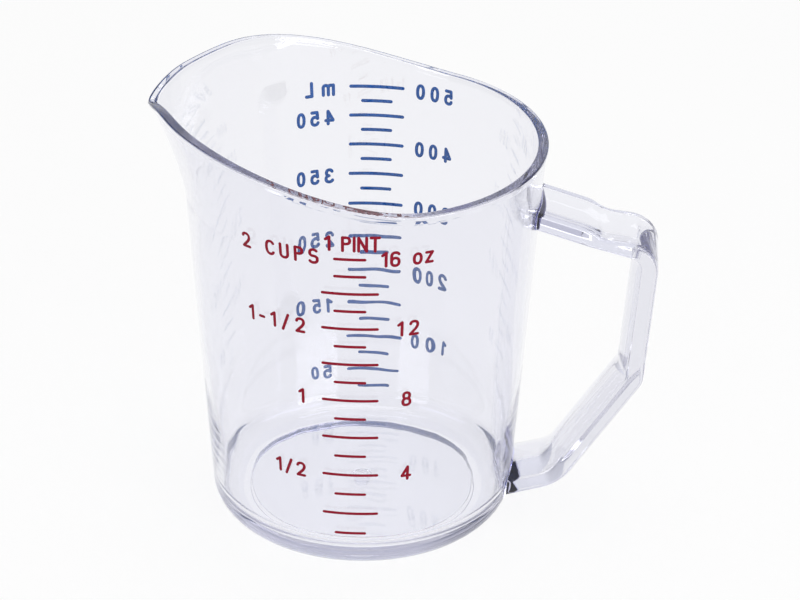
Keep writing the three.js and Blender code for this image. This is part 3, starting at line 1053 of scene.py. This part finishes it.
us_labels = [
    ("2 CUPS", -29, -7.6, fill_height(16 * OUNCE) + 0.2),
    ("1 PINT", -6.3, 7.6, fill_height(16 * OUNCE) + 4.4),
    ("16 oz", 7.6, 21, fill_height(16 * OUNCE)),
    ("1-1/2", -27.6, -11.3, fill_height(12 * OUNCE) - 0.4),
    ("12", 11.7, 17.4, fill_height(12 * OUNCE) - 0.3),
    ("1", -13.4, -11.9, fill_height(8 * OUNCE)),
    ("8", 13, 15.4, fill_height(8 * OUNCE)),
    ("1/2", -20.2, -11.6, fill_height(4 * OUNCE)),
    ("4", 13, 15.4, fill_height(4 * OUNCE)),
]
metric_labels = [("mL", 11.6, 20.2, fill_height(MILLILITRES * MILLILITRE) - METRIC_DROP)]
for amount in range(100, MILLILITRES + 1, 100):
    metric_labels.append((str(amount), *NUMBER_LEFT, fill_height(amount * MILLILITRE) - METRIC_DROP))
for amount in range(50, MILLILITRES, 100):
    left = NUMBER_RIGHT[0]
    right = NUMBER_RIGHT[1] if amount >= 100 else left + TWO_DIGITS
    metric_labels.append((str(amount), left, right, fill_height(amount * MILLILITRE) - METRIC_DROP))


def print_labels(name, labels, pen, angle, material, slot):
    """All labels of one scale as one piece of print."""
    bodies = []
    for text, left, right, middle in labels:
        strokes = lettering(text, left, right, middle, LETTER_HEIGHT, pen)
        bodies += printed(strokes, angle, middle, pen)
    made = make_piece(name, bodies, material, [])
    print(name, "strokes:", len(bodies), "faces:", len(made.data.polygons))


print_labels("print_us_labels", us_labels, *us_print)
print_labels("print_metric_labels", metric_labels, *metric_print)

# %% [markdown]
# ## The table
#
# A white table without an edge in view. Its white comes from its own material: rays from the camera, and
# rays that the plastic reflects or lets through, see mostly a plain white, and the rest of it is an
# ordinary matt surface that keeps the jug's shadow.

# %% The table
TABLE_HALF = 4.0
TABLE_WHITE = (0.95, 0.95, 0.95, 1)
TABLE_WHITE_SHARE = 0.8


def seen_rays(tree):
    """1 for camera, glossy and transmission rays: 1 less the product of what each of them leaves."""
    kinds = ["Is Camera Ray", "Is Glossy Ray", "Is Transmission Ray"]
    camera, glossy, through = [tree.node("ShaderNodeLightPath", output=kind) for kind in kinds]
    return 1 - (1 - camera) * (1 - glossy) * (1 - through)


def table_finish():
    """Matt white, with a plain white of strength 1 mixed in for the rays that show it."""
    material = bpy.data.materials.new("white_table")
    tree = Tree(material)
    matt = tree.node("ShaderNodeBsdfDiffuse", None, {"Color": TABLE_WHITE})
    white = tree.node("ShaderNodeEmission", None, {"Color": (1, 1, 1, 1), "Strength": 1})
    share = TABLE_WHITE_SHARE * seen_rays(tree)
    surface = tree.node("ShaderNodeMixShader", None, {0: share, 1: matt, 2: white})
    tree.node("ShaderNodeOutputMaterial", None, {"Surface": surface})
    return material


table_mesh = bpy.data.meshes.new("table")
table_corners = [(x * TABLE_HALF, y * TABLE_HALF, 0) for x, y in ((-1, -1), (1, -1), (1, 1), (-1, 1))]
table_mesh.from_pydata(table_corners, [], [(0, 1, 2, 3)])
table_mesh.materials.append(table_finish())
table = bpy.data.objects.new("table", table_mesh)
scene.collection.objects.link(table)

# %% [markdown]
# ## The studio
#
# Clear plastic has no colour of its own to show: it shows the room. Here the room is a white tent, open
# at the sides. The white table and the white cloth give the jug pale walls, the dark sides give its edges
# their lines, and three softboxes give it white glints. Matt surfaces get an even white light from the
# world, and the plastic sees the room, by ramps on how high and how far to the side a ray points.

# %% The world
ROOM_LIGHT = 0.6
CLOTH_STOPS = [
    (0.0, (0.85, 0.86, 0.92)),
    (0.42, (0.90, 0.91, 0.97)),
    (0.80, (0.95, 0.96, 1.0)),
    (1.0, (1.0, 1.0, 1.0)),
]
SIDE_STOPS = [
    (0.0, (0.55, 0.56, 0.62)),
    (0.2, (0.50, 0.51, 0.58)),
    (0.42, (0.03, 0.035, 0.07)),
    (0.8, (0.05, 0.055, 0.09)),
    (0.93, (0.80, 0.81, 0.85)),
    (1.0, (1.0, 1.0, 1.0)),
]
LEFT_TO_RIGHT_STOPS = [(0.0, 1.0), (0.16, 1.0), (0.32, 0.0), (0.76, 0.0), (0.9, 0.6), (1.0, 0.6)]

world = bpy.data.worlds.new("studio")
scene.world = world
tree = Tree(world)
direction = tree.node("ShaderNodeTexCoord", output="Generated")
upwards = tree.node("ShaderNodeSeparateXYZ", None, {0: direction}, "Z")
across = tree.node("ShaderNodeSeparateXYZ", None, {0: direction}, "X")
cloth = tree.node("ShaderNodeValToRGB", {"stops": CLOTH_STOPS}, {0: upwards})
side = tree.node("ShaderNodeValToRGB", {"stops": SIDE_STOPS}, {0: upwards})
aside = tree.node("ShaderNodeValToRGB", {"stops": LEFT_TO_RIGHT_STOPS}, {0: 0.5 + 0.5 * across})
colours = {"Factor": aside, "A": cloth, "B": side}
room = tree.node("ShaderNodeMix", {"data_type": "RGBA"}, colours, "Result")
kinds = ["Is Glossy Ray", "Is Transmission Ray"]
glossy, through = [tree.node("ShaderNodeLightPath", output=kind) for kind in kinds]
camera_ray = tree.node("ShaderNodeLightPath", output="Is Camera Ray")
even_light = tree.node("ShaderNodeBackground", None, {"Color": (1, 1, 1, 1), "Strength": ROOM_LIGHT})
white_behind = tree.node("ShaderNodeBackground", None, {"Color": (1, 1, 1, 1), "Strength": 1})
room_seen = tree.node("ShaderNodeBackground", None, {"Color": room, "Strength": 1})
plain = tree.node("ShaderNodeMixShader", None, {0: camera_ray, 1: even_light, 2: white_behind})
in_plastic = 1 - (1 - glossy) * (1 - through)
everything = tree.node("ShaderNodeMixShader", None, {0: in_plastic, 1: plain, 2: room_seen})
tree.node("ShaderNodeOutputWorld", None, {"Surface": everything})


# %% The lamps
JUG_MIDDLE = Vector((0, 0, 0.06))


def softbox(name, place, size, power):
    """A square lamp of so many watts that faces the middle of the jug, all in metres."""
    light = bpy.data.lights.new(name, "AREA")
    light.size = size
    light.energy = power
    lamp = bpy.data.objects.new(name, light)
    lamp.location = place
    lamp.rotation_euler = (Vector(place) - JUG_MIDDLE).to_track_quat("Z", "Y").to_euler()
    lamp.visible_camera = False
    scene.collection.objects.link(lamp)


softbox("softbox_left", (-0.65, -0.9, 0.35), 0.5, 2.4)
softbox("softbox_right", (0.78, -0.85, 0.36), 0.7, 6)
softbox("softbox_top", (0.1, 0.2, 1.6), 1.0, 6)

# %% [markdown]
# ## The camera
#
# The photograph's viewing angle was worked out from the jug's own circles and marks. The lens is long, so
# the jug shows little perspective.

# %% The camera
IMAGE_WIDTH = 800
SENSOR_WIDTH = 36
FOCAL_PIXELS = 2816.56
CAMERA_PLACE = (59.2, -647.49, 417.19)
CAMERA_AZIMUTH = 4.3735
CAMERA_ELEVATION = 28.851
CAMERA_ROLL = 0.7928

azimuth, elevation, roll = np.radians([CAMERA_AZIMUTH, CAMERA_ELEVATION, CAMERA_ROLL])
ahead = np.array([-np.sin(azimuth), np.cos(azimuth), 0])
forward = ahead * np.cos(elevation) - (0, 0, np.sin(elevation))
level = np.array([np.cos(azimuth), np.sin(azimuth), 0])
upright = np.cross(level, forward)
right = np.cos(roll) * level + np.sin(roll) * upright
up = np.cos(roll) * upright - np.sin(roll) * level

camera_data = bpy.data.cameras.new("camera")
camera_data.sensor_width = SENSOR_WIDTH
camera_data.lens = FOCAL_PIXELS / IMAGE_WIDTH * SENSOR_WIDTH
camera_data.clip_start = 0.01
camera = bpy.data.objects.new("camera", camera_data)
turn = Matrix((right, up, -forward)).transposed().to_4x4()
camera.matrix_world = Matrix.Translation(Vector(CAMERA_PLACE) * MM) @ turn
scene.collection.objects.link(camera)
scene.camera = camera

# %% [markdown]
# ## Light paths
#
# At each surface of clear plastic a ray is bent or mirrored, and in the rim it may be mirrored dozens of
# times before it comes out. A ray that is given up on the way counts as black, so the limits are high.

# %% Colour and light paths
scene.view_settings.view_transform = "Standard"
scene.cycles.max_bounces = 128
scene.cycles.glossy_bounces = 128
scene.cycles.transmission_bounces = 64
